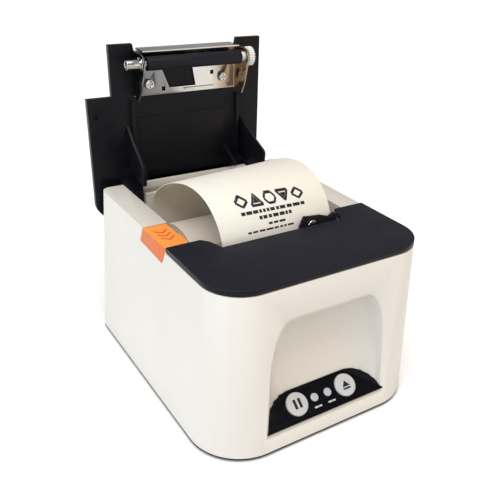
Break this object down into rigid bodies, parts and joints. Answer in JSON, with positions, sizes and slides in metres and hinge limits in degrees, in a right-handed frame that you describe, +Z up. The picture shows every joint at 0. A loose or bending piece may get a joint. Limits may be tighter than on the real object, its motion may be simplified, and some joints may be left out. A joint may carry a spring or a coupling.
{
  "type": "receipt printer",
  "caption": "Desktop thermal receipt printer with hinged paper cover, platen roller, paper roll bay, release lever, front scoop with feed and pause keys.",
  "frame": {"origin": "centre of the overall box at rest, on the surface that the feet stand on", "axes": "+X to the right seen from the front, +Y to the rear, +Z up; the cover stands open at rest"},
  "size_m": [0.1558, 0.1874, 0.2045],
  "materials": {
    "white_shell": "warm white ABS, satin gloss",
    "dark_lid": "blue-black plastic, fine matte texture",
    "black_gloss": "polished black plastic",
    "black_plastic": "moulded black plastic",
    "orange_lever": "orange plastic, satin",
    "grey_button": "light grey plastic, matte",
    "led_lens": "unlit diffused lens",
    "polished_steel": "bright nickel plated steel",
    "galvanised": "zinc plated sheet steel",
    "aluminium": "extruded, plain",
    "dark_rubber": "ground silicone rubber",
    "nylon": "natural white nylon",
    "paper": "thermal paper, smooth matte",
    "cardboard": "spiral wound board",
    "ceramic": "glazed heater board",
    "circuit_green": "solder mask on glass epoxy"
  },
  "bodies": {
    "housing": {"main_body": "white_shell", "paper_bucket": "white_shell", "mechanism_frame": "galvanised", "stepper_motor": "galvanised", "foot_front_left": "dark_rubber", "base_screw_front_left": "polished_steel", "foot_front_right": "dark_rubber", "base_screw_front_right": "polished_steel", "foot_rear_left": "dark_rubber", "base_screw_rear_left": "polished_steel", "foot_rear_right": "dark_rubber", "base_screw_rear_right": "polished_steel", "front_lid": "dark_lid", "receipt_strip": "paper", "lever_pin": "polished_steel", "lever_spring": "polished_steel", "control_panel": "black_gloss", "power_led": "led_lens", "error_led": "led_lens", "button_board": "circuit_green", "main_board": "circuit_green", "hinge_pin_left": "polished_steel", "hinge_pin_right": "polished_steel", "idler_axle": "polished_steel", "head_spring_left": "polished_steel", "head_spring_right": "polished_steel", "latch_rivet": "polished_steel", "data_port": "aluminium", "base_plate": "black_plastic", "latch_plate": "black_plastic", "power_jack": "black_plastic", "drawer_port": "black_plastic", "switch_bezel": "black_plastic"},
    "cover": {"rear_cover": "black_gloss", "roll_guide_left": "black_gloss", "roll_guide_right": "black_gloss", "platen_bracket": "polished_steel", "bracket_screw_left": "polished_steel", "bracket_screw_right": "polished_steel", "tear_bar": "polished_steel", "platen_bush_left": "polished_steel", "platen_bush_right": "nylon"},
    "platen": {"platen_roller": "dark_rubber", "platen_shaft": "polished_steel", "platen_gear": "nylon"},
    "roll": {"paper_roll": "paper", "roll_core": "cardboard"},
    "lever": {"release_lever": "orange_lever"},
    "pause_key": {"pause_button": "grey_button"},
    "feed_key": {"feed_button": "grey_button"},
    "idler": {"idler_gear": "nylon"},
    "pinion": {"motor_pinion": "polished_steel"},
    "head": {"heat_sink": "aluminium", "print_head": "ceramic"},
    "rocker": {"power_rocker": "black_plastic"}
  },
  "joints": [
    {"name": "cover_hinge", "type": "hinge", "parent": "housing", "child": "cover", "pos_m": [0, 0.08045, 0.103], "axis": [1, 0, 0], "range_deg": [0, 90], "deforming": ["receipt_strip"]},
    {"name": "platen_spin", "type": "hinge", "parent": "cover", "child": "platen", "pos_m": [0, 0.0752, 0.1943], "axis": [1, 0, 0], "continuous": true},
    {"name": "roll_spin", "type": "hinge", "parent": "housing", "child": "roll", "pos_m": [0, 0.0307, 0.058], "axis": [1, 0, 0], "continuous": true},
    {"name": "lever_pull", "type": "hinge", "parent": "housing", "child": "lever", "pos_m": [-0.064, 0.0139, 0.1088], "axis": [-1, 0, 0], "range_deg": [0, 12], "stiffness_Nm_per_rad": 0.05, "springref_deg": -11.46},
    {"name": "pause_press", "type": "slide", "parent": "housing", "child": "pause_key", "axis": [0, 0.6157, -0.788], "range_m": [0, 0.0008], "stiffness_N_per_m": 600},
    {"name": "feed_press", "type": "slide", "parent": "housing", "child": "feed_key", "axis": [0, 0.6157, -0.788], "range_m": [0, 0.0008], "stiffness_N_per_m": 600},
    {"name": "idler_spin", "type": "hinge", "parent": "housing", "child": "idler", "pos_m": [0.039, -0.02035, 0.08469], "axis": [1, 0, 0], "continuous": true},
    {"name": "motor_spin", "type": "hinge", "parent": "housing", "child": "pinion", "pos_m": [0.039, -0.02808, 0.07406], "axis": [1, 0, 0], "continuous": true},
    {"name": "head_float", "type": "slide", "parent": "housing", "child": "head", "axis": [0, -1, 0], "range_m": [0, 0.0007], "stiffness_N_per_m": 3000},
    {"name": "power_rock", "type": "hinge", "parent": "housing", "child": "rocker", "pos_m": [0.04, 0.0852, 0.017], "axis": [-1, 0, 0], "range_deg": [0, 14]}
  ],
  "couplings": [
    {"joint": "motor_spin", "follows": "idler_spin", "ratio": -3.3333}
  ]
}
